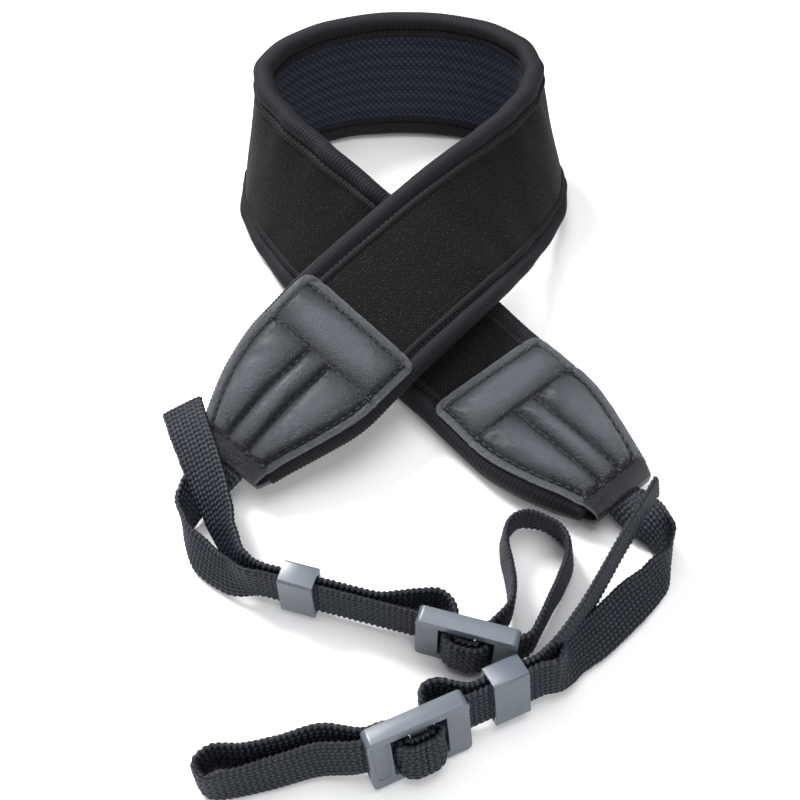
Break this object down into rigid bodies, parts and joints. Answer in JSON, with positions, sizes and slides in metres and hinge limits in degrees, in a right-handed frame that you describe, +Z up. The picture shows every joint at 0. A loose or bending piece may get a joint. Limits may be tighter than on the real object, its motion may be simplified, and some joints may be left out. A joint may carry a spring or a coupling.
{
  "type": "saxophone neck strap",
  "caption": "Padded curved neck strap lying crossed, with quilted end tabs and narrow webbing tails that run through keepers and sliders into slip-through loops.",
  "frame": {"origin": "bottom centre of the whole strap as it lies, on the table", "axes": "+Z up, +X to the right, +Y from the tails to the back of the neck pad"},
  "size_m": [0.1146, 0.2194, 0.0383],
  "materials": {
    "neoprene": "closed-cell foam rubber, matt",
    "knit_facing": "fine smooth knit with small pale flecks",
    "grip_lining": "anti-slip lining with an embossed grid",
    "edge_binding": "ribbed knit tape",
    "leatherette": "satin pebbled grain",
    "foam": "soft padding, hidden",
    "webbing": "ribbed polypropylene webbing",
    "hardware_plastic": "satin moulded plastic"
  },
  "bodies": {
    "strap": {"pad_neoprene_core": "neoprene", "pad_outer_facing": "knit_facing", "pad_grip_lining": "grip_lining", "upper_edge_binding": "edge_binding", "lower_edge_binding": "edge_binding", "left_tab_leather": "leatherette", "left_tab_panel_foam": "foam", "left_tab_upper_finger_foam": "foam", "left_tab_middle_finger_foam": "foam", "left_tab_lower_finger_foam": "foam", "left_webbing": "webbing", "right_tab_leather": "leatherette", "right_tab_panel_foam": "foam", "right_tab_upper_finger_foam": "foam", "right_tab_middle_finger_foam": "foam", "right_tab_lower_finger_foam": "foam", "right_webbing": "webbing"},
    "left_keeper": {"left_keeper": "hardware_plastic"},
    "left_slider": {"left_slider": "hardware_plastic", "left_bar_wrap": "webbing"},
    "right_keeper": {"right_keeper": "hardware_plastic"},
    "right_slider": {"right_slider": "hardware_plastic", "right_bar_wrap": "webbing"}
  },
  "joints": [
    {"name": "left_keeper_slide", "type": "slide", "parent": "strap", "child": "left_keeper", "axis": [0.9613, -0.2756, 0], "range_m": [-0.0015, 0.011]},
    {"name": "left_slider_slide", "type": "slide", "parent": "strap", "child": "left_slider", "axis": [0.9613, -0.2756, 0], "range_m": [-0.005, 0.001]},
    {"name": "right_keeper_slide", "type": "slide", "parent": "strap", "child": "right_keeper", "axis": [-0.9135, -0.4067, 0], "range_m": [-0.001, 0.0025]},
    {"name": "right_slider_slide", "type": "slide", "parent": "strap", "child": "right_slider", "axis": [-0.9135, -0.4067, 0], "range_m": [-0.001, 0.005]}
  ]
}
